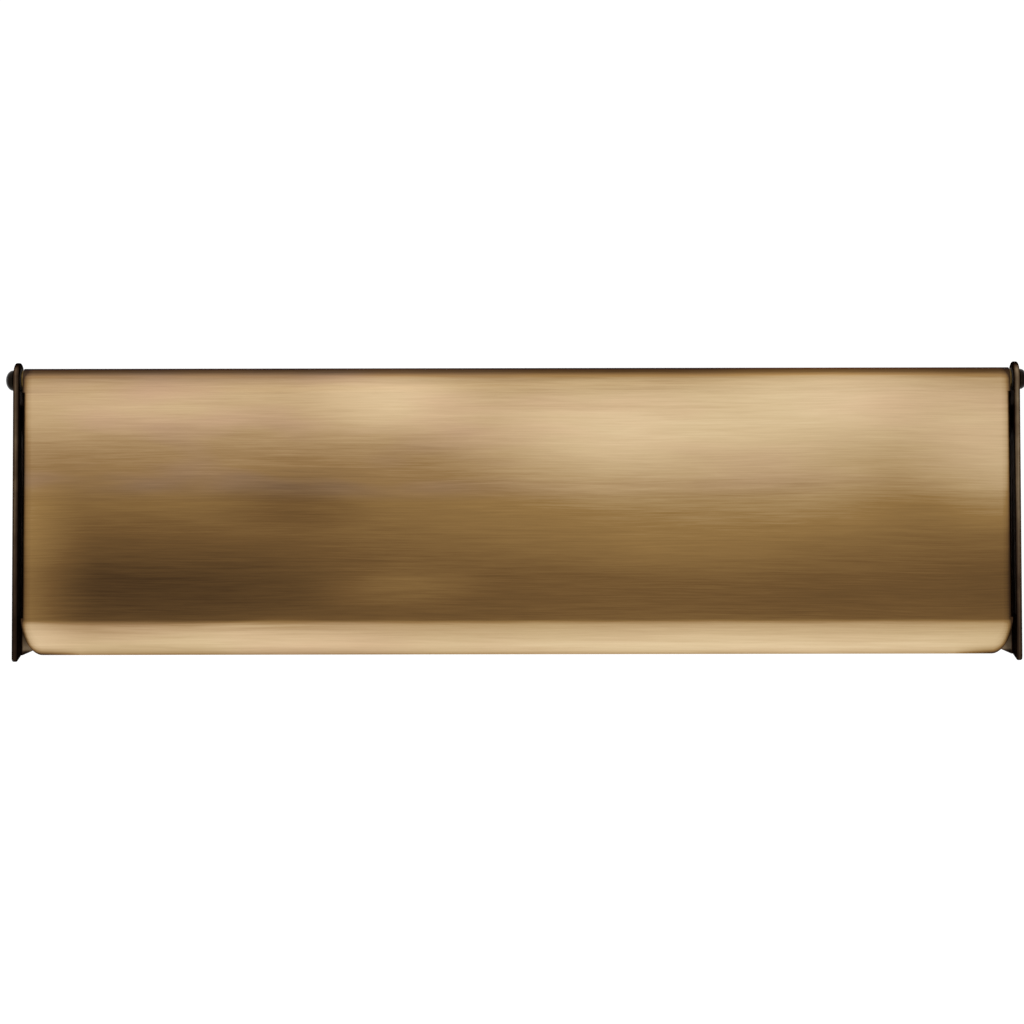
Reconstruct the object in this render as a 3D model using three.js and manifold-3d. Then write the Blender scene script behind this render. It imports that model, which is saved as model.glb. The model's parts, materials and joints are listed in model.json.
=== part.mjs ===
// A wide kick plate of brushed brass, hinged along its top edge between two side brackets.
// Millimetres. +X is right, +Y goes into the door, +Z is up. The origin is the bottom centre
// of the whole object's box, so the front of the plate looks towards -Y.
import * as THREE from "three";
import { mergeVertices } from "three/addons/utils/BufferGeometryUtils.js";
import Module from "manifold-3d";

const wasm = await Module();
wasm.setup();

// Driving dimensions of the plate
const plateWidth = 711;
const sheet = 1.5;
const hemSlit = 40; // degrees of the roll left open behind the plate
const faceDrop = 174.4; // hinge axis down to the crease of the lip
const creaseInner = 1; // inside radius of the crease
const lipLength = 27.7;
const lipAngle = 30; // degrees the lip is bent back from the face
const lipCornerWidth = 13;
const lipCornerHeight = 22;
const edgeInner = 1.5; // inside radius of the side bends
const returnDepth = 12; // side edges turned back, from the face
const returnTopGap = 1; // side edges start this far below the hem
const plateLean = 2.5; // degrees the closed plate stands out at its lower edge

// Driving dimensions of the brackets
const bracketThickness = 4;
const bracketDepth = 36; // door face to the front edge, at the foot
const bracketFlare = 7; // the front edge comes forward this much from ear to foot
const sideGap = 2.5; // plate edge to bracket
const lipClearance = 4; // lower edge of the lip above the lowest point of the bracket
const earRim = 3; // width of the ear round the rolled hem
const earRise = 1.2; // centre of the ear's round top above the hinge axis
const noseRadius = 3; // round lower front corner
const footRise = 3.7; // lower edge of the bracket at the foot lug
const heelRise = 6; // lower edge of the bracket at the door face
const flangeWidth = 24;
const flangeThickness = 4;
const flangeTopDrop = 17.5; // top of the back flange below the hinge axis
const flangeCorner = 4;
const footSetback = 18; // front edge of the bracket back to the face of the foot lug
const footThickness = 4;
const footWidth = 22;
const footSlopeWidth = 10; // the lug's lower edge climbs over this width
const footSlopeRise = 4.4;
const footTop = 32;

// Driving dimensions of the hinge and the fasteners
const rodDiameter = 10;
const rodShoulder = 1; // step in radius down to the threaded ends
const runningGap = 0.1; // radial clearance of what turns, and end float of the stack
const seatGap = 0.1; // clearance between pieces that are clamped or pressed together
const bushWall = 1.8;
const bushLength = 20;
const bushFlange = 1.2;
const bushFlangeStep = 0.7; // the flange is this much smaller in radius than the hem
const thrustStep = 0.3; // and the thrust washer this much
const outerWasher = 1;
const nutDiameter = 14.8;
const washerStep = 0.6; // the outer washer is this much smaller in radius than the nut
const nutHeight = 6;
const nutRim = 0.8; // straight rim under the dome
const nutBoreDepth = 4;
const bufferDiameter = 10;
const bufferRim = 1.5; // straight side under the buffer's crown
const bufferTouch = 0.3; // left between the closed plate and the buffers
const bufferStem = 5;
const bufferInset = 14; // buffer centre from the inner face of the bracket
const bufferHeight = 16; // buffer centre above the lowest point of the bracket
const bufferCollar = 7; // bulb behind the lug that keeps the buffer in
const screwsPerBracket = 3;
const screwDiameter = 4.8;
const screwHeadDiameter = 9.5;
const screwHeadDepth = 2.6;
const screwLength = 25;
const screwPoint = 5;
const screwHoleGap = 0.3; // radial clearance of the screw holes
const screwInset = 12.5; // screw line from the inner face of the bracket
const lowestScrew = 46;
const highestScrewDrop = 14; // top screw below the top of the flange
const recessWidth = 1.1;
const recessLength = 5;
const recessDepth = 1.5;

const roundSteps = 32;
const arcSteps = 10;

const radians = THREE.MathUtils.degToRad;
const rodEndDiameter = rodDiameter - 2 * rodShoulder;
const hemBore = rodDiameter / 2 + runningGap + bushWall + seatGap; // inside radius of the hem
const hemRadius = hemBore + sheet;
const creaseRadius = creaseInner + sheet;
const edgeRadius = edgeInner + sheet;
const earRadius = hemRadius + earRim;
const halfPlate = plateWidth / 2;
const innerFace = halfPlate + sideGap;
const outerFace = innerFace + bracketThickness;
const axisDepth = bracketDepth - bracketFlare - earRadius; // door face to hinge axis
const lean = radians(plateLean);
const bend = radians(lipAngle);
const lipTip = [lipLength * Math.sin(bend) - hemRadius, -faceDrop - lipLength * Math.cos(bend)];
const lipDrop = lipTip[0] * Math.sin(lean) - lipTip[1] * Math.cos(lean); // hinge axis to the lip's edge
const axisHeight = lipDrop + lipClearance;
const flangeTop = axisHeight - flangeTopDrop;
const throughCut = 60; // longer than anything it cuts

const finishes = {
  brass: { color: 0xa98a5c, metalness: 0.9, roughness: 0.38 },
  bronze: { color: 0x33281d, metalness: 0.7, roughness: 0.5 },
  steel: { color: 0x8b8b88, metalness: 0.9, roughness: 0.35 },
  darkSteel: { color: 0x1b1816, metalness: 0.7, roughness: 0.45 },
  nylon: { color: 0x2b2824, metalness: 0, roughness: 0.6 },
  bearingBronze: { color: 0x9a7440, metalness: 0.9, roughness: 0.4 },
  rubber: { color: 0x151514, metalness: 0, roughness: 0.85 },
};

// A closed geometry as a solid that can be joined and cut.
function solidOf(geometry) {
  const bare = geometry.clone();
  bare.deleteAttribute("normal");
  bare.deleteAttribute("uv");
  const merged = mergeVertices(bare, 1e-4);
  const vertProperties = new Float32Array(merged.attributes.position.array);
  const triVerts = new Uint32Array(merged.index.array);
  return new wasm.Manifold(new wasm.Mesh({ numProp: 3, vertProperties, triVerts }));
}

function geometryOf(solid) {
  const mesh = solid.getMesh();
  const geometry = new THREE.BufferGeometry();
  geometry.setAttribute("position", new THREE.BufferAttribute(mesh.vertProperties, 3));
  geometry.setIndex(new THREE.BufferAttribute(mesh.triVerts, 1));
  geometry.computeVertexNormals();
  return geometry;
}

function namedMesh(name, geometry, finish) {
  const mesh = new THREE.Mesh(geometry, new THREE.MeshStandardMaterial(finishes[finish]));
  mesh.name = name;
  return mesh;
}

// A flat outline given its depth along one axis. Outlines are drawn as (Y, Z), (X, Z) or (X, Y).
function extrude(outline, depth) {
  return new THREE.ExtrudeGeometry(outline, { depth, bevelEnabled: false, curveSegments: arcSteps });
}

function alongX(outline, from, to) {
  const turn = new THREE.Matrix4().makeBasis(
    new THREE.Vector3(0, 1, 0),
    new THREE.Vector3(0, 0, 1),
    new THREE.Vector3(1, 0, 0),
  );
  return solidOf(extrude(outline, to - from).applyMatrix4(turn).translate(from, 0, 0));
}

function alongY(outline, from, to) {
  const turn = new THREE.Matrix4().makeBasis(
    new THREE.Vector3(1, 0, 0),
    new THREE.Vector3(0, 0, 1),
    new THREE.Vector3(0, -1, 0),
  );
  return solidOf(extrude(outline, to - from).applyMatrix4(turn).translate(0, to, 0));
}

function alongZ(outline, from, to) {
  return solidOf(extrude(outline, to - from).translate(0, 0, from));
}

function box(low, high) {
  const size = high.map((value, axis) => value - low[axis]);
  const centre = high.map((value, axis) => (value + low[axis]) / 2);
  return solidOf(new THREE.BoxGeometry(...size).translate(...centre));
}

// A solid turned about an axis along X or Y. The profile is a list of [radius, distance along].
function turnedAlongX(profile, centreY, centreZ) {
  const points = profile.map(([radius, along]) => new THREE.Vector2(radius, along));
  const turned = new THREE.LatheGeometry(points, roundSteps);
  return solidOf(turned.rotateZ(-Math.PI / 2).translate(0, centreY, centreZ));
}

function turnedAlongY(profile, centreX, centreZ) {
  const points = profile.map(([radius, along]) => new THREE.Vector2(radius, along));
  return solidOf(new THREE.LatheGeometry(points, roundSteps).translate(centreX, 0, centreZ));
}

// A hole is faceted, so its corners stand out enough for its flats to clear the shaft.
function holeRadius(shaftDiameter, gap) {
  return (shaftDiameter / 2 + gap) / Math.cos(Math.PI / roundSteps);
}

// A washer or sleeve: [inner radius, outer radius] between two places along its axis.
function ringProfile(inner, outer, from, to) {
  return [[inner, from], [outer, from], [outer, to], [inner, to], [inner, from]];
}

function rodProfile(radius, from, to) {
  return [[0, from], [radius, from], [radius, to], [0, to]];
}

// Side view of the sheet, with the hinge axis at (0, 0): rolled hem, flat face, crease and lip.
function sheetOutline() {
  const front = -hemRadius;
  const creaseY = front + creaseRadius;
  const creaseZ = -faceDrop + creaseRadius * Math.tan(bend / 2);
  const flatLip = lipLength - creaseRadius * Math.tan(bend / 2);
  const curlEnd = -Math.PI + radians(hemSlit);
  const outline = new THREE.Shape();
  outline.absarc(0, 0, hemRadius, curlEnd, Math.PI, false);
  outline.absarc(creaseY, creaseZ, creaseRadius, Math.PI, Math.PI + bend, false);
  const lipEnd = outline.currentPoint.clone();
  lipEnd.add(new THREE.Vector2(Math.sin(bend), -Math.cos(bend)).multiplyScalar(flatLip));
  outline.lineTo(lipEnd.x, lipEnd.y);
  outline.lineTo(lipEnd.x + sheet * Math.cos(bend), lipEnd.y + sheet * Math.sin(bend));
  outline.absarc(creaseY, creaseZ, creaseInner, Math.PI + bend, Math.PI, true);
  outline.absarc(0, 0, hemBore, Math.PI, curlEnd, true);
  outline.closePath();
  return outline;
}

// Front view of the sheet: square at the top, with round corners at the lip.
function frontOutline() {
  const top = hemRadius + 1;
  const bottom = lipTip[1];
  const cornerX = halfPlate - lipCornerWidth;
  const cornerZ = bottom + lipCornerHeight;
  const outline = new THREE.Shape();
  outline.moveTo(-halfPlate, top);
  outline.lineTo(-halfPlate, cornerZ);
  outline.absellipse(-cornerX, cornerZ, lipCornerWidth, lipCornerHeight, Math.PI, Math.PI * 1.5, false, 0);
  outline.absellipse(cornerX, cornerZ, lipCornerWidth, lipCornerHeight, Math.PI * 1.5, Math.PI * 2, false, 0);
  outline.lineTo(halfPlate, top);
  outline.closePath();
  return outline;
}

// Plan view of the left side edge, turned back from the face.
function returnOutline() {
  const left = -halfPlate;
  const front = -hemRadius;
  const centreX = left + edgeRadius;
  const centreY = front + edgeRadius;
  const joint = 1; // runs into the face so that the two become one sheet
  const outline = new THREE.Shape();
  outline.moveTo(centreX + joint, front);
  outline.lineTo(centreX + joint, front + sheet);
  outline.absarc(centreX, centreY, edgeInner, Math.PI * 1.5, Math.PI, true);
  outline.lineTo(left + sheet, front + returnDepth);
  outline.lineTo(left, front + returnDepth);
  outline.absarc(centreX, centreY, edgeRadius, Math.PI, Math.PI * 1.5, false);
  outline.closePath();
  return outline;
}

function facePlate() {
  const returnTop = -hemRadius - returnTopGap;
  const returnBottom = -faceDrop + creaseRadius;
  const clear = [hemRadius + throughCut, hemRadius + 1];
  let plate = alongX(sheetOutline(), -halfPlate, halfPlate);
  plate = plate.intersect(alongY(frontOutline(), -clear[0], clear[0]));
  const leftReturn = alongZ(returnOutline(), returnBottom, returnTop);
  for (const side of [-1, 1]) {
    const edges = [side * (halfPlate - edgeRadius), side * (halfPlate + 1)].sort((a, b) => a - b);
    plate = plate.subtract(box([edges[0], -clear[1], returnBottom], [edges[1], 0, returnTop]));
    plate = plate.add(side < 0 ? leftReturn : leftReturn.mirror([1, 0, 0]));
  }
  return namedMesh("face_plate", geometryOf(plate), "brass");
}

function hingeRod() {
  const shoulder = innerFace - seatGap;
  const end = outerFace + outerWasher + nutBoreDepth - seatGap;
  const small = rodEndDiameter / 2;
  const large = rodDiameter / 2;
  const chamfer = 0.6;
  const half = [[large, shoulder], [small, shoulder], [small, end - chamfer], [small - chamfer, end], [0, end]];
  const otherHalf = half.map(([radius, along]) => [radius, -along]).reverse();
  return namedMesh("hinge_rod", geometryOf(turnedAlongX([...otherHalf, ...half], 0, 0)), "steel");
}

// The pieces below are drawn for the left side, with the hinge axis at Y = 0, Z = 0.
function bush() {
  const bore = holeRadius(rodDiameter, runningGap);
  const sleeve = hemBore - seatGap;
  const flange = hemRadius - bushFlangeStep;
  const outer = -halfPlate - seatGap - bushFlange;
  const shoulder = -halfPlate - seatGap;
  const profile = [[bore, outer], [flange, outer], [flange, shoulder], [sleeve, shoulder]];
  profile.push([sleeve, shoulder + bushLength], [bore, shoulder + bushLength], [bore, outer]);
  return turnedAlongX(profile, 0, 0);
}

function thrustWasher() {
  const inner = -halfPlate - seatGap - bushFlange - runningGap;
  const outer = -innerFace + seatGap;
  const bore = holeRadius(rodDiameter, seatGap);
  return turnedAlongX(ringProfile(bore, hemRadius - thrustStep, outer, inner), 0, 0);
}

function washer() {
  const inner = -outerFace - seatGap;
  const outer = inner - outerWasher + seatGap;
  const bore = holeRadius(rodEndDiameter, seatGap);
  return turnedAlongX(ringProfile(bore, nutDiameter / 2 - washerStep, outer, inner), 0, 0);
}

function domeNut() {
  const base = -outerFace - outerWasher - seatGap;
  const radius = nutDiameter / 2;
  const bore = holeRadius(rodEndDiameter, seatGap);
  const domeHeight = nutHeight - nutRim;
  const profile = [[0, base - nutHeight]];
  for (let step = 1; step <= arcSteps; step += 1) {
    const angle = (Math.PI / 2) * (step / arcSteps);
    profile.push([radius * Math.sin(angle), base - nutRim - domeHeight * Math.cos(angle)]);
  }
  profile.push([radius, base], [bore, base], [bore, base - nutBoreDepth], [0, base - nutBoreDepth]);
  return turnedAlongX(profile, 0, 0);
}

// The pieces below are drawn for the left side, with the door face at Y = 0 and the lowest point at Z = 0.
function cheekOutline() {
  const earFront = -axisDepth - earRadius;
  const earCentre = axisHeight + earRise;
  const outline = new THREE.Shape();
  outline.moveTo(0, heelRise);
  outline.lineTo(0, flangeTop);
  outline.absarc(-axisDepth, earCentre, earRadius, 0, Math.PI / 2, false);
  outline.absarc(-axisDepth, earCentre, earRadius, Math.PI / 2, Math.PI, false);
  outline.lineTo(earFront, axisHeight);
  outline.absarc(-bracketDepth + noseRadius, noseRadius, noseRadius, Math.PI, Math.PI * 1.5, false);
  outline.lineTo(-bracketDepth + footSetback, footRise);
  outline.closePath();
  return outline;
}

function flangeOutline() {
  const root = -innerFace - bracketThickness / 2;
  const edge = -innerFace + flangeWidth;
  const outline = new THREE.Shape();
  outline.moveTo(root, heelRise);
  outline.absarc(edge - flangeCorner, heelRise + flangeCorner, flangeCorner, Math.PI * 1.5, Math.PI * 2, false);
  outline.absarc(edge - flangeCorner, flangeTop - flangeCorner, flangeCorner, 0, Math.PI / 2, false);
  outline.lineTo(root, flangeTop);
  outline.closePath();
  return outline;
}

function footOutline() {
  const root = -innerFace - bracketThickness / 2;
  const edge = -innerFace + footWidth;
  const outline = new THREE.Shape();
  outline.moveTo(root, footRise);
  outline.lineTo(-innerFace, footRise);
  outline.lineTo(-innerFace + footSlopeWidth, footRise + footSlopeRise);
  outline.lineTo(edge, footRise + footSlopeRise);
  outline.absarc(edge - flangeCorner, footTop - flangeCorner, flangeCorner, 0, Math.PI / 2, false);
  outline.lineTo(root, footTop);
  outline.closePath();
  return outline;
}

function screwHeights() {
  const highest = flangeTop - highestScrewDrop;
  const step = (highest - lowestScrew) / (screwsPerBracket - 1);
  return Array.from({ length: screwsPerBracket }, (_, index) => lowestScrew + step * index);
}

function bracket() {
  const footFace = -bracketDepth + footSetback;
  const screwX = -innerFace + screwInset;
  const holeTop = -flangeThickness;
  const hole = holeRadius(screwDiameter, screwHoleGap);
  const sink = holeRadius(screwHeadDiameter, screwHoleGap);
  let solid = alongX(cheekOutline(), -outerFace, -innerFace);
  solid = solid.add(alongY(flangeOutline(), -flangeThickness, 0));
  solid = solid.add(alongY(footOutline(), footFace, footFace + footThickness));
  const axle = rodProfile(holeRadius(rodEndDiameter, seatGap), -throughCut, throughCut);
  solid = solid.subtract(turnedAlongX(axle, -axisDepth, axisHeight).translate([-outerFace, 0, 0]));
  const stem = rodProfile(holeRadius(bufferStem, seatGap), footFace - 1, footFace + footThickness + 1);
  solid = solid.subtract(turnedAlongY(stem, -innerFace + bufferInset, bufferHeight));
  for (const height of screwHeights()) {
    const cut = [[0, holeTop - 1], [sink, holeTop - 1], [sink, holeTop]];
    cut.push([hole, holeTop + screwHeadDepth], [hole, 1], [0, 1]);
    solid = solid.subtract(turnedAlongY(cut, screwX, height));
  }
  return solid;
}

// How far the buffer's crown stands out, so that its round top just misses the sloping lip.
function bufferCrown() {
  const slope = bend - lean;
  const creaseY = -axisDepth - hemRadius * Math.cos(lean) - faceDrop * Math.sin(lean);
  const creaseZ = axisHeight - faceDrop * Math.cos(lean) + hemRadius * Math.sin(lean);
  const lipBack = creaseY + (creaseZ - bufferHeight) * Math.tan(slope) + sheet / Math.cos(slope);
  const clear = (-bracketDepth + footSetback - lipBack - bufferRim) * Math.cos(slope) - bufferTouch;
  const across = (bufferDiameter / 2) * Math.sin(slope);
  return Math.sqrt(clear * clear - across * across) / Math.cos(slope);
}

function buffer() {
  const face = -bracketDepth + footSetback - seatGap;
  const back = -bracketDepth + footSetback + footThickness + seatGap;
  const radius = bufferDiameter / 2;
  const stem = bufferStem / 2;
  const crown = bufferCrown();
  const profile = [[0, face - bufferRim - crown]];
  for (let step = 1; step <= arcSteps; step += 1) {
    const angle = (Math.PI / 2) * (step / arcSteps);
    profile.push([radius * Math.sin(angle), face - bufferRim - crown * Math.cos(angle)]);
  }
  profile.push([radius, face], [stem, face], [stem, back], [bufferCollar / 2, back]);
  profile.push([stem, back + bufferStem], [0, back + bufferStem]);
  return turnedAlongY(profile, -innerFace + bufferInset, bufferHeight);
}

function screw(height) {
  const head = -flangeThickness + seatGap;
  const shank = screwDiameter / 2;
  const tip = head + screwLength;
  const profile = [[0, head], [screwHeadDiameter / 2, head], [shank, head + screwHeadDepth]];
  profile.push([shank, tip - screwPoint], [0, tip]);
  const screwX = -innerFace + screwInset;
  const wide = [recessLength / 2, recessWidth / 2];
  let solid = turnedAlongY(profile, screwX, height);
  for (const [halfX, halfZ] of [wide, [...wide].reverse()]) {
    const low = [screwX - halfX, head - 1, height - halfZ];
    solid = solid.subtract(box(low, [screwX + halfX, head + recessDepth, height + halfZ]));
  }
  return solid;
}

// One side's pieces. The right side is the left side's mirror image.
function sidePieces(side) {
  const pieces = new THREE.Group();
  const onAxis = new THREE.Group();
  onAxis.position.set(0, -axisDepth, axisHeight);
  onAxis.add(namedMesh(`${side}_bush`, geometryOf(bush()), "bearingBronze"));
  onAxis.add(namedMesh(`${side}_thrust_washer`, geometryOf(thrustWasher()), "nylon"));
  onAxis.add(namedMesh(`${side}_outer_washer`, geometryOf(washer()), "darkSteel"));
  onAxis.add(namedMesh(`${side}_dome_nut`, geometryOf(domeNut()), "darkSteel"));
  pieces.add(onAxis);
  pieces.add(namedMesh(`${side}_bracket`, geometryOf(bracket()), "bronze"));
  pieces.add(namedMesh(`${side}_buffer`, geometryOf(buffer()), "rubber"));
  screwHeights().forEach((height, index) => {
    pieces.add(namedMesh(`${side}_screw_${index + 1}`, geometryOf(screw(height)), "darkSteel"));
  });
  if (side === "right") pieces.scale.x = -1;
  return pieces;
}

const hinged = new THREE.Group();
hinged.position.set(0, -axisDepth, axisHeight);
hinged.rotation.x = -lean;
hinged.add(facePlate());
hinged.add(hingeRod());

const kickPlate = new THREE.Group();
kickPlate.add(hinged, sidePieces("left"), sidePieces("right"));
const screwTip = screwLength - flangeThickness + seatGap;
kickPlate.position.y = (bracketDepth - screwTip) / 2;

const scene = new THREE.Group();
scene.add(kickPlate);

export default scene;
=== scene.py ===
import json
import math

import bmesh
import bpy
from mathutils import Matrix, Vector


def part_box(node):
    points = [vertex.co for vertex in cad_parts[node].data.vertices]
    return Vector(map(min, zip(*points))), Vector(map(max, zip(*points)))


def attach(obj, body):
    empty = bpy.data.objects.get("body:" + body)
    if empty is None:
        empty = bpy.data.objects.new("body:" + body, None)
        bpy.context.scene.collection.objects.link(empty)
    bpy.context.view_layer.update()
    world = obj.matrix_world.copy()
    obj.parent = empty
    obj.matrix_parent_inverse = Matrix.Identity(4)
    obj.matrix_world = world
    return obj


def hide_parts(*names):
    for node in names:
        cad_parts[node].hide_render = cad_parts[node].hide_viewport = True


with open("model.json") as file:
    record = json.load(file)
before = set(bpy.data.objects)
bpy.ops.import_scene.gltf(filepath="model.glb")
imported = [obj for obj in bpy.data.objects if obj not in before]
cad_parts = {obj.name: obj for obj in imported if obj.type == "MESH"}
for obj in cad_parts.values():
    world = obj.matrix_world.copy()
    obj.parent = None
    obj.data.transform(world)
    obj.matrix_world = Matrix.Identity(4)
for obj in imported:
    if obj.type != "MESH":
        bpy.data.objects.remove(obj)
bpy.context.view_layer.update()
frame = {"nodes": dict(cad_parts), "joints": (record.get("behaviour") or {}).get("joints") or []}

# Hinged kick plate of brushed antique brass between two dark bronze side brackets.
# Metres, with the front of the plate towards -Y and the bottom of the brackets at Z 0.

axisY, axisZ = frame["joints"][0]["pos_m"][1:]
sides = {"left": -1, "right": 1}
nodes = frame["nodes"]


# modelling helpers; the piece being worked on is always the open or active one

def deselectAll():
    for piece in list(bpy.context.selected_objects):
        piece.select_set(False)


def makeActive(piece):
    deselectAll()
    piece.select_set(True)
    bpy.context.view_layer.objects.active = piece


def openPiece(name):
    # the primitive that was just added gets its name, its place in its mesh, and is opened for editing
    piece = bpy.context.object
    piece.name = name
    piece.data.name = name
    bpy.ops.object.transform_apply(location=True, rotation=True, scale=True)
    bpy.ops.object.mode_set(mode="EDIT")
    return piece


def openCadCopy(name, node):
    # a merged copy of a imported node, with the triangles of each flat face joined again
    piece = nodes[node].copy()
    piece.data = nodes[node].data.copy()
    for key in list(piece.keys()):
        del piece[key]
    piece.parent = None
    piece.name = name
    piece.data.name = name
    piece.data.materials.clear()
    bpy.context.scene.collection.objects.link(piece)
    makeActive(piece)
    bpy.ops.object.mode_set(mode="EDIT")
    bpy.ops.mesh.select_all(action="SELECT")
    bpy.ops.mesh.remove_doubles(threshold=1e-6)
    bpy.ops.mesh.dissolve_limited(angle_limit=math.radians(1))
    return piece


def middle(item):
    corners = getattr(item, "verts", [item])
    return sum((corner.co for corner in corners), Vector()) / len(corners)


def choose(kind, test):
    # selects the vertices, edges or faces of the open piece that pass the test
    bpy.ops.mesh.select_mode(type=kind)
    bpy.ops.mesh.select_all(action="DESELECT")
    shape = bmesh.from_edit_mesh(bpy.context.edit_object.data)
    items = {"VERT": shape.verts, "EDGE": shape.edges, "FACE": shape.faces}[kind]
    for item in items:
        if test(item):
            item.select_set(True)
    shape.select_flush_mode()
    bmesh.update_edit_mesh(bpy.context.edit_object.data)


def pull(x, y, z):
    bpy.ops.mesh.extrude_region_move(TRANSFORM_OT_translate={"value": (x, y, z)})


def spinAbout(centre, axis, degrees, steps):
    # right-handed turn of the chosen edges; the operator itself counts the other way round
    bpy.ops.mesh.spin(steps=steps, angle=-math.radians(degrees), center=centre, axis=axis)


def faceOutwards():
    bpy.ops.mesh.select_all(action="SELECT")
    bpy.ops.mesh.remove_doubles(threshold=1e-6)
    bpy.ops.mesh.normals_make_consistent(inside=False)


def modify(piece, kind, **settings):
    modifier = piece.modifiers.new(kind.title(), kind)
    for key, value in settings.items():
        setattr(modifier, key, value)
    bpy.ops.object.modifier_apply(modifier=modifier.name)


def closePiece(piece, bevel=0, smooth=35, segments=3):
    bpy.ops.object.mode_set(mode="OBJECT")
    makeActive(piece)
    if bevel:
        modify(piece, "BEVEL", width=bevel, segments=segments, limit_method="ANGLE",
               angle_limit=math.radians(40), miter_outer="MITER_ARC")
    bpy.ops.object.shade_smooth_by_angle(angle=math.radians(smooth))


def turnPiece(name, stations, centre, axis="X", steps=96, bevel=0, closed=False):
    # a ring is pulled from station to station, each (radius, place along the axis), as on a lathe
    deselectAll()
    radius, place = stations[0]
    alongX = axis == "X"
    turned = (0, math.radians(90), 0) if alongX else (math.radians(90), 0, 0)
    start = (place, centre[0], centre[1]) if alongX else (centre[0], place, centre[1])
    bpy.ops.mesh.primitive_circle_add(vertices=steps, radius=radius, fill_type="NOTHING",
                                      location=start, rotation=turned)
    piece = openPiece(name)
    bpy.ops.mesh.select_all(action="SELECT")
    for newRadius, newPlace in stations[1:]:
        step = newPlace - place
        pull(step if alongX else 0, 0 if alongX else step, 0)
        if newRadius == 0:
            bpy.ops.mesh.merge(type="CENTER")
            break
        ratio = newRadius / radius
        middlePoint = (newPlace, *centre) if alongX else (centre[0], newPlace, centre[1])
        size = (1, ratio, ratio) if alongX else (ratio, 1, ratio)
        bpy.ops.transform.resize(value=size, center_override=middlePoint)
        radius, place = newRadius, newPlace
    faceOutwards()
    if not closed:
        for end in (stations[0][1], place):
            along = 0 if alongX else 1
            choose("EDGE", lambda edge: edge.is_boundary and abs(middle(edge)[along] - end) < 1e-6)
            shape = bmesh.from_edit_mesh(piece.data)
            if any(edge.select for edge in shape.edges):
                bpy.ops.mesh.edge_face_add()
        faceOutwards()
    closePiece(piece, bevel=bevel)
    return piece


def mirrorCopy(piece, name):
    # the right side's piece, with a mesh of its own
    other = piece.copy()
    other.data = piece.data.copy()
    other.name = name
    other.data.name = name
    bpy.context.scene.collection.objects.link(other)
    makeActive(other)
    other.scale = (-1, 1, 1)
    bpy.ops.object.transform_apply(location=True, rotation=True, scale=True)
    bpy.ops.object.mode_set(mode="EDIT")
    bpy.ops.mesh.select_all(action="SELECT")
    bpy.ops.mesh.normals_make_consistent(inside=False)
    bpy.ops.object.mode_set(mode="OBJECT")
    return other


def settle(piece, body, node, slot, *materials):
    for material in materials:
        piece.data.materials.append(material)
    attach(piece, body)
    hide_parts(node)


# material helpers

def paint(hexText):
    channels = [int(hexText[i:i + 2], 16) / 255 for i in (0, 2, 4)]
    linear = [c / 12.92 if c <= 0.04045 else ((c + 0.055) / 1.055) ** 2.4 for c in channels]
    return (*linear, 1)


def add(tree, kind, inputs=None, **settings):
    # one node, its settings, and its sockets set or linked
    node = tree.nodes.new("ShaderNode" + kind)
    for key, value in settings.items():
        setattr(node, key, value)
    for socket, value in (inputs or {}).items():
        if isinstance(value, bpy.types.NodeSocket):
            tree.links.new(value, node.inputs[socket])
        else:
            node.inputs[socket].default_value = value
    return node


def heightStops(stops, top):
    # a list by height in millimetres as shares of its top
    return [(height / top, value) for height, value in stops]


def rampOf(tree, factor, stops, interpolation="LINEAR"):
    node = add(tree, "ValToRGB", {0: factor})
    node.color_ramp.interpolation = interpolation
    elements = node.color_ramp.elements
    while len(elements) < len(stops):
        elements.new(0.5)
    for element, (place, value) in zip(elements, stops):
        element.position = place
        element.color = paint(value) if isinstance(value, str) else (value, value, value, 1)
    return node.outputs[0]


def noise(tree, place, scale, detail, roughness=0.5):
    sockets = {0: place, "Scale": scale, "Detail": detail, "Roughness": roughness}
    return add(tree, "TexNoise", sockets).outputs[0]


def stretchedNoise(tree, place, stretch, detail, roughness=0.5, offset=(0, 0, 0)):
    # noise drawn out along the axis with the smallest number, as brush and roller lines are
    drawn = add(tree, "Mapping", {0: place, 1: offset, 3: stretch}).outputs[0]
    return noise(tree, drawn, 1, detail, roughness)


def remap(tree, value, *limits, **settings):
    # limits: from low, from high, and if they aren't 0 and 1, to low, to high
    return add(tree, "MapRange", {0: value, **dict(enumerate(limits, 1))}, **settings).outputs[0]


def calculate(tree, operation, *values):
    return add(tree, "Math", dict(enumerate(values)), operation=operation).outputs[0]


def wire(tree, shader, colour, rough, bump=None):
    tree.links.new(colour, shader.inputs["Base Color"])
    tree.links.new(rough, shader.inputs["Roughness"])
    if bump:
        tree.links.new(bump, shader.inputs["Normal"])


def newMaterial(name):
    material = bpy.data.materials.new(name)
    material.use_nodes = True
    tree = material.node_tree
    shader = next(node for node in tree.nodes if node.type == "BSDF_PRINCIPLED")
    place = add(tree, "TexCoord").outputs["Object"]
    return material, tree, shader, place


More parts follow.
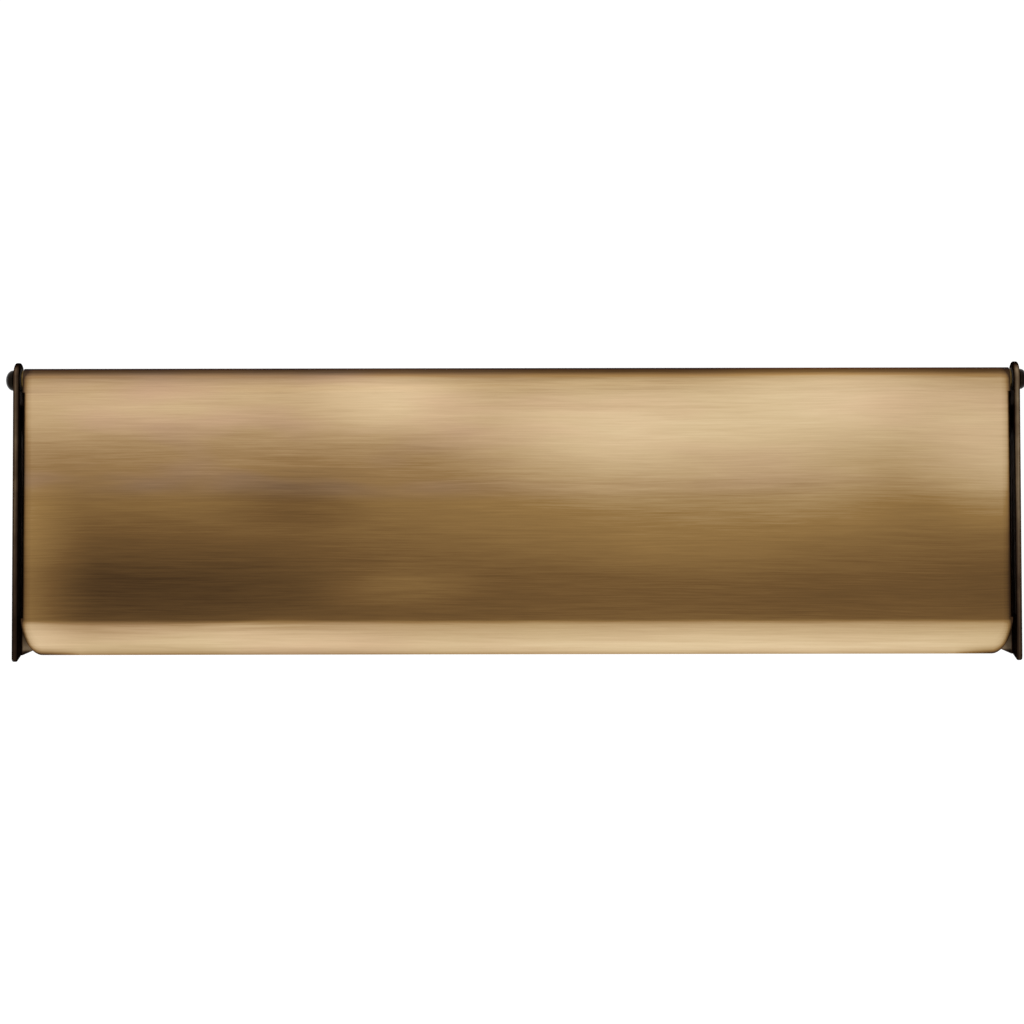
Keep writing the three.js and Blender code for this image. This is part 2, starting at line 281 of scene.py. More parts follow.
brass = {
    # brightness by height in millimetres: patina brushed back, with painted light over it, the face
    # painted lighter at the top and darker lower down, the lip painted bright as a reflection and the top
    # of the hem painted dark as shade
    "byHeight": [(4, 0.70), (7, 0.81), (11, 0.82), (16, 0.75), (22, 0.67), (26, 0.60), (28, 0.46),
                 (29.6, 0.25), (36, 0.22), (46, 0.20), (60, 0.20), (80, 0.28), (100, 0.35),
                 (125, 0.42), (150, 0.50), (172, 0.62), (190, 0.65), (198, 0.62), (202.5, 0.57),
                 (204.6, 0.42), (206.2, 0.23), (207.6, 0.13), (209.5, 0.08), (211, 0.05)],
    # soft areas brushed brighter or left darker: x, z, half width, half height in mm, and how much
    "areas": [(228, 174, 131, 101, 0.20), (80, 157, 163, 54, 0.26), (-88, 186, 87, 37, 0.16),
              (-156, 117, 75, 36, -0.12), (-294, 57, 259, 110, -0.13), (-368, 57, 72, 110, 0.31),
              (-83, 52, 84, 26, 0.14), (354, 143, 96, 73, 0.24), (115, 88, 259, 91, 0.12),
              (-248, 180, 106, 19, 0.06), (-215, 18, 150, 15, 0.15),
              (160, 8, 260, 15, 0.08)],
    "shades": [(0.0, "33210f"), (0.25, "694d2a"), (0.45, "8b6c3f"), (0.6, "ab9066"),
               (0.8, "c9b189"), (1.0, "e2cfa8")],
    "blush": "a3846c",
    # faint copper tint where the lacquer is thin, by height in millimetres
    "blushByHeight": [(0, 0.5), (27, 0.4), (30, 0.0), (112, 0.0), (130, 1.0), (220, 1.0)],
    "blushClouds": (7, 25, 28),
    "blushToSide": (-0.15, 0.1, 1.0, 0.4),  # less of it towards the right
    "rampTop": 220,  # height in millimetres that the lists by height are measured against
    "roughness": 0.36,
    "waver": 0.009,
    # how far the fine lines, the broad lines and the clouds are drawn out
    "fineLines": (26, 1000, 1000),
    "broadLines": (6, 380, 380),
    "clouds": (6, 30, 30),
    "streaks": (0.20, 0.07, 0.09),  # share of the fine lines, the broad lines and the clouds
    "fringe": (9, 200, 200),
    "fray": 0.03,  # the soft areas end in streaks, up to half this far above and below
    "corner": (0.3425, 0.0262, 0.013, 0.0222),  # centre and size of the round lip corners
    # darkening at the rim, partly patina and partly painted shade where the sheet turns away beside the
    # dark brackets, from 0 at the corner's centre to 1 on the rim itself
    "rim": [(0.45, 0.0), (0.62, 0.05), (0.74, 0.13), (0.83, 0.28), (0.89, 0.46), (0.94, 0.7),
            (0.97, 0.9), (1.0, 1.0)],
    "rimShadeDepth": -0.85,
    "rimBySide": (0.315, 0.345, 0.2, 1.0),  # the rim is dark at the sides and faint along the lower edge
    "grazing": "8a6b45",
    "coat": 0.1,
    "coatRoughness": 0.25,
    "backShades": [(0.35, "4b381f"), (0.7, "5f4728"), (1.0, "745833")],
    "cutEdgeShades": [(0.3, "2e2010"), (0.7, "5a4223")],
}


def makeBrass():
    # brushed antique brass: darkened sheet brushed back along its length under a satin lacquer,
    # so the eye gets fine level streaks, soft cloudy patina and bright rubbed areas, with painted light
    # and shade laid over them by height and along the rims
    material, tree, shader, place = newMaterial("brushedAntiqueBrass")
    parts = add(tree, "SeparateXYZ", {0: place})
    x, y, z = parts.outputs
    height = remap(tree, z, 0, brass["rampTop"] / 1000)
    # painted light and shade by height over the patina: lighter at the top of the face, darker lower
    # down, a bright lip and a dark top to the hem
    wearAndPaintedLight = rampOf(tree, height, heightStops(brass["byHeight"], brass["rampTop"]))

    # the brush wavers a little, by about 2 mm over a hand's width
    waver = noise(tree, place, 5, 1)
    lift = calculate(tree, "SUBTRACT", waver, 0.5)
    lift = calculate(tree, "MULTIPLY", lift, brass["waver"])
    shifted = calculate(tree, "ADD", z, lift)
    brushed = add(tree, "CombineXYZ", {0: x, 1: y, 2: shifted}).outputs[0]

    fringe = stretchedNoise(tree, brushed, brass["fringe"], 3, offset=(5, 2, 8))
    fringe = calculate(tree, "SUBTRACT", fringe, 0.5)
    fringe = calculate(tree, "MULTIPLY_ADD", fringe, brass["fray"], z)
    frayed = add(tree, "CombineXYZ", {0: x, 1: y, 2: fringe}).outputs[0]
    for areaX, areaZ, halfX, halfZ, amount in brass["areas"]:
        centred = add(tree, "Mapping", {
            0: frayed,
            1: (-areaX / halfX, 0, -areaZ / halfZ),
            3: (1000 / halfX, 0, 1000 / halfZ),
        }).outputs[0]
        ball = add(tree, "TexGradient", {0: centred}, gradient_type="SPHERICAL").outputs[1]
        soft = remap(tree, ball, 0, 1, 0, amount, interpolation_type="SMOOTHSTEP")
        wearAndPaintedLight = calculate(tree, "ADD", wearAndPaintedLight, soft)

    # real brush lines are finer than this; drawn about 1 and 3 mm apart they still show
    fine = stretchedNoise(tree, brushed, brass["fineLines"], 4, roughness=0.65)
    broad = stretchedNoise(tree, brushed, brass["broadLines"], 3, roughness=0.6)
    cloud = stretchedNoise(tree, brushed, brass["clouds"], 2)

    for source, amount in zip((fine, broad, cloud), brass["streaks"]):
        centred = calculate(tree, "SUBTRACT", source, 0.5)
        wearAndPaintedLight = calculate(tree, "MULTIPLY_ADD", centred, amount, wearAndPaintedLight)

    # darker along the side edges, round the lip corners and thinly along the lower edge: partly patina,
    # partly painted shade where the sheet turns away and beside the dark brackets
    cornerX, cornerZ, wide, tall = brass["corner"]
    fromSide = calculate(tree, "ABSOLUTE", x)
    u = remap(tree, fromSide, cornerX, cornerX + wide)
    v = remap(tree, z, cornerZ, cornerZ - tall)
    both = add(tree, "CombineXYZ", {0: u, 1: v, 2: 0.0}).outputs[0]
    reach = add(tree, "VectorMath", {0: both}, operation="LENGTH").outputs["Value"]
    edge = rampOf(tree, reach, brass["rim"], "EASE")
    share = remap(tree, fromSide, *brass["rimBySide"])
    edge = calculate(tree, "MULTIPLY", edge, share)
    wearAndPaintedLight = calculate(tree, "MULTIPLY_ADD", edge, brass["rimShadeDepth"], wearAndPaintedLight)

    colour = rampOf(tree, wearAndPaintedLight, brass["shades"])
    tint = stretchedNoise(tree, brushed, brass["blushClouds"], 2, offset=(3, 1, 2))
    tint = remap(tree, tint, 0.42, 0.68, 0.2, 0.9)
    level = rampOf(tree, height, heightStops(brass["blushByHeight"], brass["rampTop"]), "EASE")
    tint = calculate(tree, "MULTIPLY", tint, level)
    toSide = remap(tree, x, *brass["blushToSide"])
    tint = calculate(tree, "MULTIPLY", tint, toSide)
    colour = add(tree, "Mix", {0: tint, 6: colour, 7: paint(brass["blush"])}, data_type="RGBA",
                 blend_type="COLOR").outputs[2]
    rough = remap(tree, fine, 0.3, 0.7, brass["roughness"] - 0.05, brass["roughness"] + 0.07)
    bump = add(tree, "Bump", {"Strength": 0.35, "Distance": 0.00008, "Height": fine}).outputs[0]
    wire(tree, shader, colour, rough, bump)
    shader.inputs["Metallic"].default_value = 1
    shader.inputs["Specular Tint"].default_value = paint(brass["grazing"])
    shader.inputs["Coat Weight"].default_value = brass["coat"]
    shader.inputs["Coat Roughness"].default_value = brass["coatRoughness"]
    return material


def makeBrassBack():
    # unbrushed mill side of the same sheet: even brown patina with faint rolling lines
    material, tree, shader, place = newMaterial("patinatedSheetBack")
    cloud = noise(tree, place, 11, 4, roughness=0.5)
    roll = stretchedNoise(tree, place, (6, 300, 300), 3)
    mixed = calculate(tree, "MULTIPLY_ADD", roll, 0.35, cloud)
    colour = rampOf(tree, mixed, brass["backShades"])
    rough = remap(tree, cloud, 0.3, 0.7, 0.46, 0.58)
    bump = add(tree, "Bump", {"Strength": 0.25, "Distance": 0.0001, "Height": roll}).outputs[0]
    wire(tree, shader, colour, rough, bump)
    shader.inputs["Metallic"].default_value = 1
    return material


def makeBrassEdge():
    # sheared edge of the sheet, filed smooth and left dark by the patina bath
    material, tree, shader, place = newMaterial("patinatedCutEdge")
    grain = noise(tree, place, 420, 3)
    colour = rampOf(tree, grain, brass["cutEdgeShades"])
    rough = remap(tree, grain, 0, 1, 0.42, 0.6)
    wire(tree, shader, colour, rough)
    shader.inputs["Metallic"].default_value = 1
    return material


facePlate = {
    "sheet": 0.0015,
    "hemTurn": 320,  # degrees of the roll round the hinge rod
    "faceDrop": 0.1744,
    "creaseInner": 0.001,
    "lipAngle": 30,
    "lipLength": 0.0277,
    "lipCorner": (0.013, 0.022),
    "edgeInner": 0.0015,
    "returnDepth": 0.012,
    "returnTopGap": 0.001,
    "lean": 2.5,  # degrees the closed plate stands out at its lower edge
    "edgeRounding": 0.00045,
    "edgeSteps": 8,
    "creaseSteps": 6,
    "lipRows": 16,
    "hemSteps": 48,
}


def makeFacePlate():
    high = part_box("face_plate")[1]
    half = high.x
    hem = high.y - axisY  # outside radius of the rolled hem
    sheet = facePlate["sheet"]
    edgeRadius = facePlate["edgeInner"] + sheet
    creaseRadius = facePlate["creaseInner"] + sheet
    bend = math.radians(facePlate["lipAngle"])
    creaseZ = -facePlate["faceDrop"] + creaseRadius * math.tan(bend / 2)
    bandTop = -hem - facePlate["returnTopGap"]
    bandBottom = -facePlate["faceDrop"] + creaseRadius
    inset = half - edgeRadius

    # flat face, drawn with the hinge axis at the origin
    deselectAll()
    bpy.ops.mesh.primitive_plane_add(size=1, location=(0, -hem, creaseZ / 2),
                                     rotation=(math.radians(90), 0, 0))
    bpy.context.object.scale = (2 * inset, -creaseZ, 1)
    piece = openPiece("facePlate")
    for level in (bandTop, bandBottom):
        bpy.ops.mesh.select_all(action="SELECT")
        bpy.ops.mesh.bisect(plane_co=(0, 0, level), plane_no=(0, 0, 1))
    for side in sides.values():
        # above and below the turned edges the sheet runs on to its full width
        for lowest, highest in ((bandTop, 0), (creaseZ, bandBottom)):
            choose("EDGE", lambda edge: abs(middle(edge).x - side * inset) < 1e-6
                   and lowest < middle(edge).z < highest)
            pull(side * edgeRadius, 0, 0)
        # side edge turned back
        choose("EDGE", lambda edge: abs(middle(edge).x - side * inset) < 1e-6
               and bandBottom < middle(edge).z < bandTop)
        spinAbout((side * inset, -hem + edgeRadius, 0), (0, 0, 1), side * 90, facePlate["edgeSteps"])
        pull(0, facePlate["returnDepth"] - edgeRadius, 0)

    # crease and lip, with its corners taken in row by row along an ellipse
    choose("EDGE", lambda edge: all(abs(v.co.z - creaseZ) < 1e-6 for v in edge.verts))
    spinAbout((0, -hem + creaseRadius, creaseZ), (1, 0, 0), facePlate["lipAngle"],
              facePlate["creaseSteps"])
    wide, tall = facePlate["lipCorner"]
    lipBottom = -facePlate["faceDrop"] - facePlate["lipLength"] * math.cos(bend)
    zNow = creaseZ - creaseRadius * math.sin(bend)
    widthNow = half
    rows = facePlate["lipRows"]
    for row in range(rows + 1):
        turn = math.pi / 2 * row / rows
        zNext = lipBottom + tall * (1 - math.sin(turn))
        widthNext = half - wide * (1 - math.cos(turn))
        drop = zNow - zNext
        pull(0, drop * math.tan(bend), -drop)
        bpy.ops.transform.resize(value=(widthNext / widthNow, 1, 1), center_override=(0, 0, 0))
        zNow, widthNow = zNext, widthNext

    # hem rolled up, over and round the rod
    choose("EDGE", lambda edge: all(abs(v.co.z) < 1e-6 for v in edge.verts))
    spinAbout((0, 0, 0), (1, 0, 0), -facePlate["hemTurn"], facePlate["hemSteps"])
    faceOutwards()
    shape = bmesh.from_edit_mesh(piece.data)
    shape.faces.ensure_lookup_table()
    flat = max(shape.faces, key=lambda face: face.calc_area())
    if flat.normal.y > 0:
        bpy.ops.mesh.flip_normals()
    bpy.ops.object.mode_set(mode="OBJECT")
    makeActive(piece)
    for material in (makeBrass(), makeBrassBack(), makeBrassEdge()):
        piece.data.materials.append(material)
    modify(piece, "SOLIDIFY", thickness=sheet, offset=-1, use_even_offset=True,
           material_offset=1, material_offset_rim=2)
    piece.rotation_euler.x = -math.radians(facePlate["lean"])
    piece.location = (0, axisY, axisZ)
    bpy.ops.object.transform_apply(location=True, rotation=True, scale=True)
    closePiece(piece, bevel=facePlate["edgeRounding"])
    settle(piece, "plate", "face_plate", "antique_brass")
    print("face plate:", len(piece.data.polygons), "faces")
    return piece


makeFacePlate()


bracket = {
    "edgeRounding": 0.0019,  # cast edges are nearly a full round
    "smallRounding": 0.0003,
    "thickness": 0.004,
    "holeKept": 0.006,  # edges this near the hinge axis stay sharp
    "cheekMiddle": 0.36,
    "frontSlope": -0.0346,
    "frontEdge": (-0.0225, -0.0278),
    # where the front edge is painted lighter, partly wear and partly painted highlight: off its middle,
    # by side and by height
    "ridge": (0.0017, 0.0002, 0.22, 0.46),
    "bySide": (-0.2, 0.2, -0.05, 0.12),
    "byHeight": (0.02, 0.13, -0.34, 0.0),
    "shades": [(0.0, "100c09"), (0.35, "241a13"), (0.6, "3f3125"), (0.8, "5f4f3c"), (1.0, "85735c")],
    # painted light on the foot's front face, by height in millimetres
    "foot": [(5, 0.0), (8, 1.0), (15, 0.8), (22, 0.2)],
    "footTop": 50,
    "inward": (0.3582, 0.3572, 0.0, 0.62),
    "grazing": "5a4c3e",
}


def makeBronze():
    # oil-rubbed bronze casting: nearly black brown, satin from wax, its front edge painted lighter,
    # partly rubbed wear and partly painted highlight
    material, tree, shader, place = newMaterial("oilRubbedBronze")
    parts = add(tree, "SeparateXYZ", {0: place})
    x, y, z = parts.outputs
    cloud = noise(tree, place, 90, 5, roughness=0.6)
    grain = stretchedNoise(tree, place, (1100, 300, 22), 3)
    # the front edge slopes, so its distance is measured square to it
    slope = calculate(tree, "MULTIPLY_ADD", z, bracket["frontSlope"], y)
    front = remap(tree, slope, *bracket["frontEdge"], interpolation_type="SMOOTHSTEP")
    # the middle of the round edge is painted lighter, a painted highlight with some rubbed wear; it is
    # lighter on the right and darker towards the bottom
    fromSide = calculate(tree, "ABSOLUTE", x)
    offMiddle = calculate(tree, "SUBTRACT", fromSide, bracket["cheekMiddle"])
    offMiddle = calculate(tree, "ABSOLUTE", offMiddle)
    ridge = remap(tree, offMiddle, *bracket["ridge"])
    bySide = remap(tree, x, *bracket["bySide"])
    byHeight = remap(tree, z, *bracket["byHeight"])
    streak = remap(tree, grain, 0.3, 0.7, -0.06, 0.08)
    frontWearAndHighlight = calculate(tree, "ADD", ridge, bySide)
    frontWearAndHighlight = calculate(tree, "ADD", frontWearAndHighlight, byHeight)
    frontWearAndHighlight = calculate(tree, "ADD", frontWearAndHighlight, streak)
    frontWearAndHighlight = calculate(tree, "MULTIPLY", frontWearAndHighlight, front)
    # the foot's front face is painted lighter, as painted light
    height = remap(tree, z, 0, bracket["footTop"] / 1000)
    low = rampOf(tree, height, heightStops(bracket["foot"], bracket["footTop"]), "EASE")
    inward = remap(tree, fromSide, *bracket["inward"])
    paintedFootLight = calculate(tree, "MULTIPLY", low, inward)
    base = remap(tree, cloud, 0.3, 0.7, 0.22, 0.38)
    level = calculate(tree, "ADD", base, frontWearAndHighlight)
    level = calculate(tree, "ADD", level, paintedFootLight)
    colour = rampOf(tree, level, bracket["shades"])
    rough = remap(tree, cloud, 0.3, 0.7, 0.36, 0.48)
    bump = add(tree, "Bump", {"Strength": 0.15, "Distance": 0.0001, "Height": cloud}).outputs[0]
    wire(tree, shader, colour, rough, bump)
    shader.inputs["Metallic"].default_value = 1
    shader.inputs["Specular Tint"].default_value = paint(bracket["grazing"])
    return material


bronze = makeBronze()


def makeBracket(name, side):
    node = name + "_bracket"
    low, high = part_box(node)
    outer = side * max(abs(low.x), abs(high.x))
    inner = side * (abs(outer) - bracket["thickness"])
    piece = openCadCopy(name + "Bracket", node)

    def isOutline(edge):
        # edges round the cheek, but not its hole, and not where the flange and the foot join it
        if len(edge.link_faces) != 2 or edge.calc_face_angle() < math.radians(50):
            return False
        for face in (outer, inner):
            if all(abs(v.co.x - face) < 1e-6 for v in edge.verts):
                fromHole = (middle(edge) - Vector((face, axisY, axisZ))).length
                return edge.is_convex and fromHole > bracket["holeKept"]
        return False

    choose("EDGE", isOutline)
    bpy.ops.mesh.bevel(offset=bracket["edgeRounding"], segments=6, affect="EDGES", clamp_overlap=True)
    closePiece(piece, bevel=bracket["smallRounding"], segments=2, smooth=40)
    settle(piece, "frame", node, "dark_bronze", bronze)
    print(piece.name + ":", len(piece.data.polygons), "faces")


for name, side in sides.items():
    makeBracket(name, side)


finishShades = {
    "steel": [(0.3, "6f6e6b"), (0.7, "a3a29d")],
    "turnedBronze": [(0.3, "43341c"), (0.7, "6a5530")],
    "nylon": [(0.3, "14110e"), (0.7, "26201a")],
    "blackSteel": [(0.3, "0f0c0a"), (0.6, "1d1813"), (0.8, "362e26")],
    "rubber": [(0.3, "121211"), (0.75, "252422")],
}


def makeSteel():
    # bright drawn bar: pale grey metal with fine lines along its length
    material, tree, shader, place = newMaterial("brightDrawnSteel")
    drawn = stretchedNoise(tree, place, (12, 1400, 1400), 3)
    colour = rampOf(tree, drawn, finishShades["steel"])
    rough = remap(tree, drawn, 0, 1, 0.22, 0.38)
    bump = add(tree, "Bump", {"Strength": 0.2, "Distance": 0.00003, "Height": drawn}).outputs[0]
    wire(tree, shader, colour, rough, bump)
    shader.inputs["Metallic"].default_value = 1
    return material


def makeTurnedBronze():
    # lathe-turned bearing bronze: warm red-gold metal with rings from the tool
    material, tree, shader, place = newMaterial("turnedBearingBronze")
    ring = stretchedNoise(tree, place, (4000, 60, 60), 2)
    colour = rampOf(tree, ring, finishShades["turnedBronze"])
    rough = remap(tree, ring, 0, 1, 0.3, 0.45)
    wire(tree, shader, colour, rough)
    shader.inputs["Metallic"].default_value = 1
    return material


def makeNylon():
    # graphite-filled nylon washer: dark grey brown, satin, with faint flow marks from the mould
    material, tree, shader, place = newMaterial("graphiteNylon")
    cloud = noise(tree, place, 300, 3)
    colour = rampOf(tree, cloud, finishShades["nylon"])
    rough = remap(tree, cloud, 0, 1, 0.6, 0.75)
    wire(tree, shader, colour, rough)
    shader.inputs["IOR"].default_value = 1.53
    shader.inputs["Specular IOR Level"].default_value = 0.15
    return material


def makeBlackSteel():
    # blackened steel, oiled: near black with a soft grey-brown gleam and rubbed high spots
    material, tree, shader, place = newMaterial("blackenedSteel")
    cloud = noise(tree, place, 260, 4, roughness=0.6)
    colour = rampOf(tree, cloud, finishShades["blackSteel"])
    rough = remap(tree, cloud, 0.3, 0.7, 0.26, 0.38)
    bump = add(tree, "Bump", {"Strength": 0.2, "Distance": 0.00006, "Height": cloud}).outputs[0]
    wire(tree, shader, colour, rough, bump)
    shader.inputs["Metallic"].default_value = 1
    return material


def makeRubber():
    # moulded rubber: dull near-black with a fine bloom
    material, tree, shader, place = newMaterial("mouldedRubber")
    bloom = noise(tree, place, 500, 3)
    colour = rampOf(tree, bloom, finishShades["rubber"])
    rough = remap(tree, bloom, 0, 1, 0.7, 0.9)
    bump = add(tree, "Bump", {"Strength": 0.2, "Distance": 0.00005, "Height": bloom}).outputs[0]
    wire(tree, shader, colour, rough, bump)
    shader.inputs["IOR"].default_value = 1.52
    return material


hingeParts = {
    "rodRadius": 0.005,
    "rodEndRadius": 0.004,
    "rodChamfer": 0.0006,
    "rodShoulder": 0.0041,  # from the outside of the bracket
    "shoulderChamfer": 0.0002,
    "bushSleeve": 0.0069,
    "bushBore": 0.00513,
    "bushFlange": 0.0012,
    "washerBore": 0.00512,
    "outerBore": 0.00412,
    "rounding": 0.00015,
}


blackSteel = makeBlackSteel()


def makeWasher(name, node, bore):
    low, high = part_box(node)
    wide = high.y - axisY
    stations = [(bore, low.x), (wide, low.x), (wide, high.x), (bore, high.x), (bore, low.x)]
    return turnPiece(name, stations, (axisY, axisZ), bevel=hingeParts["rounding"], closed=True)


def makeHingePieces():
    steel = makeSteel()
    bearingBronze = makeTurnedBronze()
    nylon = makeNylon()
    centre = (axisY, axisZ)

    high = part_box("hinge_rod")[1]
    rod = hingeParts["rodRadius"]
    end = hingeParts["rodEndRadius"]
    chamfer = hingeParts["rodChamfer"]
    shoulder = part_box("right_bracket")[1].x - hingeParts["rodShoulder"]
    small = hingeParts["shoulderChamfer"]
    stations = [(end - chamfer, high.x), (end, high.x - chamfer), (end, shoulder),
                (rod - small, shoulder), (rod, shoulder - small)]
    stations = [(radius, -place) for radius, place in stations] + stations[::-1]
    piece = turnPiece("hingeRod", stations, centre, bevel=0)
    settle(piece, "frame", "hinge_rod", "steel", steel)

    low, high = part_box("left_bush")
    bore, sleeve, flange = (hingeParts[key] for key in ("bushBore", "bushSleeve", "bushFlange"))
    wide = high.y - axisY
    stations = [(bore, low.x), (wide, low.x), (wide, low.x + flange), (sleeve, low.x + flange),
                (sleeve, high.x), (bore, high.x), (bore, low.x)]
    bush = turnPiece("leftBush", stations, centre, bevel=hingeParts["rounding"], closed=True)

    thrust = makeWasher("leftThrustWasher", "left_thrust_washer", hingeParts["washerBore"])
    outer = makeWasher("leftOuterWasher", "left_outer_washer", hingeParts["outerBore"])

    for piece, part, body, slot, material in (
        (bush, "bush", "plate", "bearing_bronze", bearingBronze),
        (thrust, "thrust_washer", "frame", "nylon", nylon),
        (outer, "outer_washer", "frame", "blackened_steel", blackSteel),
    ):
        other = mirrorCopy(piece, piece.name.replace("left", "right"))
        settle(piece, body, "left_" + part, slot, material)
        settle(other, body, "right_" + part, slot, material)


makeHingePieces()
print("hinge pieces done")


domeNut = {"rim": 0.0008, "boreRadius": 0.00412, "boreDepth": 0.004, "rounding": 0.0002}


def makeDomeNuts():
    low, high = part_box("left_dome_nut")
    radius = high.y - axisY
    dome = high.x - low.x - domeNut["rim"]
    base = high.x - domeNut["rim"]
    deselectAll()
    bpy.ops.mesh.primitive_uv_sphere_add(segments=64, ring_count=32, radius=radius,
                                         location=(base, axisY, axisZ), rotation=(0, math.radians(90), 0))
    bpy.context.object.scale = (1, 1, dome / radius)
    piece = openPiece("leftDomeNut")
    bpy.ops.mesh.select_all(action="SELECT")
    bpy.ops.mesh.bisect(plane_co=(base, axisY, axisZ), plane_no=(1, 0, 0), clear_outer=True)
    choose("EDGE", lambda edge: edge.is_boundary)
    pull(domeNut["rim"], 0, 0)
    pull(0, 0, 0)
    centre = (high.x, axisY, axisZ)
    ratio = domeNut["boreRadius"] / radius
    bpy.ops.transform.resize(value=(1, ratio, ratio), center_override=centre)
    pull(-domeNut["boreDepth"], 0, 0)
    bpy.ops.mesh.edge_face_add()
    faceOutwards()
    closePiece(piece, bevel=domeNut["rounding"])
    other = mirrorCopy(piece, "rightDomeNut")
    settle(piece, "frame", "left_dome_nut", "blackened_steel", blackSteel)
    settle(other, "frame", "right_dome_nut", "blackened_steel", blackSteel)


makeDomeNuts()
print("dome nuts done")


buffer = {
    "rim": 0.0015,
    "stem": 0.0025,
    "collar": 0.0035,
    "collarDepth": 0.005,
    "lug": 0.0042,
    "steps": 10,
    "rounding": 0.0002,
}


def makeBuffers():
    low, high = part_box("left_buffer")
    radius = (high.x - low.x) / 2
    centre = ((low.x + high.x) / 2, (low.z + high.z) / 2)
    back = high.y - buffer["collarDepth"]
    face = back - buffer["lug"]
    crown = face - buffer["rim"] - low.y
    stations = [(buffer["stem"] * 0.6, high.y), (buffer["collar"], back), (buffer["stem"], back),
                (buffer["stem"], face), (radius, face), (radius, face - buffer["rim"])]
    for step in range(1, buffer["steps"]):
        turn = math.pi / 2 * step / buffer["steps"]
        stations.append((radius * math.cos(turn), face - buffer["rim"] - crown * math.sin(turn)))
    stations.append((0, low.y))
    piece = turnPiece("leftBuffer", stations, centre, axis="Y", steps=48, bevel=buffer["rounding"])
    other = mirrorCopy(piece, "rightBuffer")
    rubber = makeRubber()
    settle(piece, "frame", "left_buffer", "rubber", rubber)
    settle(other, "frame", "right_buffer", "rubber", rubber)


makeBuffers()
print("buffers done")


screw = {
    "headDepth": 0.0026,
    "shank": 0.0024,
    "root": 0.0017,
    "pitch": 0.0022,
    "point": 0.005,
    "plain": 0.004,  # unthreaded length under the head
    "recess": (0.005, 0.0011, 0.0015),
    "headRim": 0.0003,
    "runOut": 0.0008,
    "tipRadius": 0.0002,
    "ridgeStart": 0.0004,
    "ridgeHalf": 0.0005,
    "ridgeSunk": 0.0002,
    "bareTip": 0.001,
}


def makeScrew():
    low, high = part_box("left_screw_1")
    radius = (high.x - low.x) / 2
    centreX, centreZ = (low.x + high.x) / 2, (low.z + high.z) / 2
    neck = low.y + screw["headDepth"]
    threadStart = neck + screw["plain"]
    tip = high.y
    blunt = screw["tipRadius"]
    stations = [(radius, low.y), (radius, low.y + screw["headRim"]), (screw["shank"], neck),
                (screw["shank"], threadStart), (screw["root"], threadStart + screw["runOut"]),
                (screw["root"], tip - screw["point"]), (blunt, tip - blunt), (0, tip)]
    core = turnPiece("screwCore", stations, (centreX, centreZ), axis="Y", steps=48)

    # cross recess cut by two crossed bars
    long, wide, deep = screw["recess"]
    for size in ((long, wide), (wide, long)):
        deselectAll()
        bpy.ops.mesh.primitive_cube_add(size=1, location=(centreX, low.y, centreZ))
        bpy.context.object.scale = (size[0], 2 * deep, size[1])
        bar = openPiece("recessBar")
        choose("FACE", lambda face: face.normal.y > 0.9)
        bpy.ops.transform.resize(value=(0.7, 1, 0.7), center_override=(centreX, low.y + deep, centreZ))
        bpy.ops.object.mode_set(mode="OBJECT")
        makeActive(core)
        modify(core, "BOOLEAN", object=bar, operation="DIFFERENCE", solver="EXACT")
        bpy.data.objects.remove(bar)

    # thread: a small ridge wound round the core, thinning out along the point
    start = threadStart + screw["ridgeStart"]
    turns = math.floor((tip - screw["bareTip"] - start) / screw["pitch"])
    deselectAll()
    bpy.ops.mesh.primitive_circle_add(vertices=3, radius=0.0006, fill_type="NOTHING")
    ridge = openPiece("threadRidge")
    inside = screw["root"] - screw["ridgeSunk"]
    half = screw["ridgeHalf"]
    for corner, place in enumerate(((screw["shank"], 0), (inside, half), (inside, -half))):
        bpy.ops.mesh.select_mode(type="VERT")
        bpy.ops.mesh.select_all(action="DESELECT")
        shape = bmesh.from_edit_mesh(ridge.data)
        shape.verts.ensure_lookup_table()
        shape.verts[corner].select_set(True)
        spot = shape.verts[corner].co
        move = (place[0] - spot.x, place[1] + start - spot.y, 0)
        bpy.ops.transform.translate(value=move)
    bpy.ops.object.mode_set(mode="OBJECT")
    makeActive(ridge)
    modify(ridge, "SCREW", axis="Y", steps=24, render_steps=24, screw_offset=screw["pitch"],
           iterations=turns, use_merge_vertices=False)
    bpy.ops.object.mode_set(mode="EDIT")
    ends = (start, start + turns * screw["pitch"])
    for end in ends:
        choose("EDGE", lambda edge: edge.is_boundary and abs(middle(edge).y - end) < 0.0006)
        bpy.ops.mesh.edge_face_add()
    coneStart = tip - screw["point"]
    bands = 40
    for band in range(bands):
        lowest = coneStart + screw["point"] * band / bands
        highest = coneStart + screw["point"] * (band + 1) / bands
        choose("VERT", lambda corner: lowest <= corner.co.y < highest)
        ratio = 1 - (band + 0.5) / bands
        bpy.ops.transform.resize(value=(ratio, 1, ratio), center_override=(0, 0, 0))
    faceOutwards()
    bpy.ops.object.mode_set(mode="OBJECT")
    ridge.location = (centreX, 0, centreZ)
    bpy.ops.object.transform_apply(location=True, rotation=True, scale=True)
    makeActive(core)
    modify(core, "BOOLEAN", object=ridge, operation="UNION", solver="EXACT")
    bpy.data.objects.remove(ridge)
    bpy.ops.object.shade_smooth_by_angle(angle=math.radians(35))
    return core


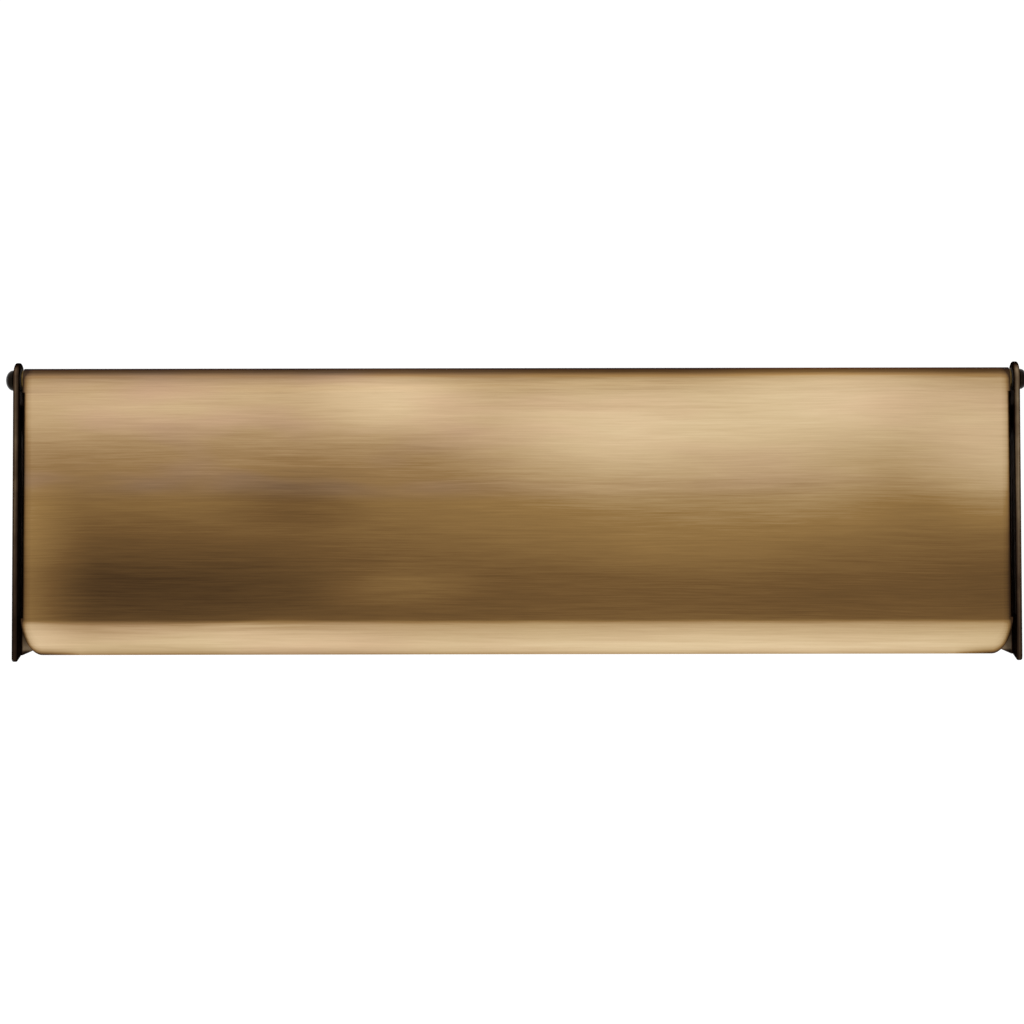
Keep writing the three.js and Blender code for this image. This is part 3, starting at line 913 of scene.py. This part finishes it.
core = makeScrew()
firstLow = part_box("left_screw_1")[0]
for name in sides:
    for number in (1, 2, 3):
        node = name + "_screw_" + str(number)
        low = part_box(node)[0]
        piece = core.copy()
        piece.data = core.data.copy()
        bpy.context.scene.collection.objects.link(piece)
        piece.name = name + "Screw" + str(number)
        piece.data.name = piece.name
        makeActive(piece)
        piece.location = (low.x - firstLow.x, 0, low.z - firstLow.z)
        bpy.ops.object.transform_apply(location=True, rotation=False, scale=False)
        settle(piece, "frame", node, "blackened_steel", blackSteel)
bpy.data.objects.remove(core)
print("screws done")


studio = {
    "floorHeight": -0.65,
    "world": 1.08,
    "keyPower": 7,
    "keyPlace": (-0.2, -1.1, 1.5),
    "keySize": (2.4, 1.4),
    "keyAim": (0, 0, 0.1),
    "cameraPlace": (-0.00342, -1.7361, 0.1068),
    "lens": 83.88,
    "roll": 0.1,
}


def makeStudio():
    deselectAll()
    bpy.ops.mesh.primitive_plane_add(size=60, location=(0, 0, studio["floorHeight"]))
    floor = bpy.context.object
    floor.name = "floor"
    bpy.ops.object.transform_apply(location=True, rotation=True, scale=True)
    material, _, shader, _ = newMaterial("paleFloor")
    shader.inputs["Base Color"].default_value = (0.99, 0.99, 0.99, 1)
    shader.inputs["Roughness"].default_value = 0.9
    floor.data.materials.append(material)

    world = bpy.data.worlds.new("softStudio")
    bpy.context.scene.world = world
    world.use_nodes = True
    tree = world.node_tree
    background = next(node for node in tree.nodes if node.type == "BACKGROUND")
    background.inputs["Strength"].default_value = studio["world"]
    background.inputs["Color"].default_value = (1, 1, 1, 1)

    light = bpy.data.lights.new("keyLight", "AREA")
    light.shape = "RECTANGLE"
    light.size, light.size_y = studio["keySize"]
    light.energy = studio["keyPower"]
    lamp = bpy.data.objects.new("keyLight", light)
    bpy.context.scene.collection.objects.link(lamp)
    lamp.location = studio["keyPlace"]
    beam = Vector(studio["keyAim"]) - Vector(studio["keyPlace"])
    lamp.rotation_euler = beam.to_track_quat("-Z", "Y").to_euler()

    cameraData = bpy.data.cameras.new("camera")
    cameraData.sensor_width = 36
    cameraData.lens = studio["lens"]
    camera = bpy.data.objects.new("camera", cameraData)
    bpy.context.scene.collection.objects.link(camera)
    camera.location = studio["cameraPlace"]
    camera.rotation_euler = (math.radians(90), math.radians(studio["roll"]), 0)
    bpy.context.scene.camera = camera
    bpy.context.scene.view_settings.view_transform = "Standard"


makeStudio()
print("studio done")
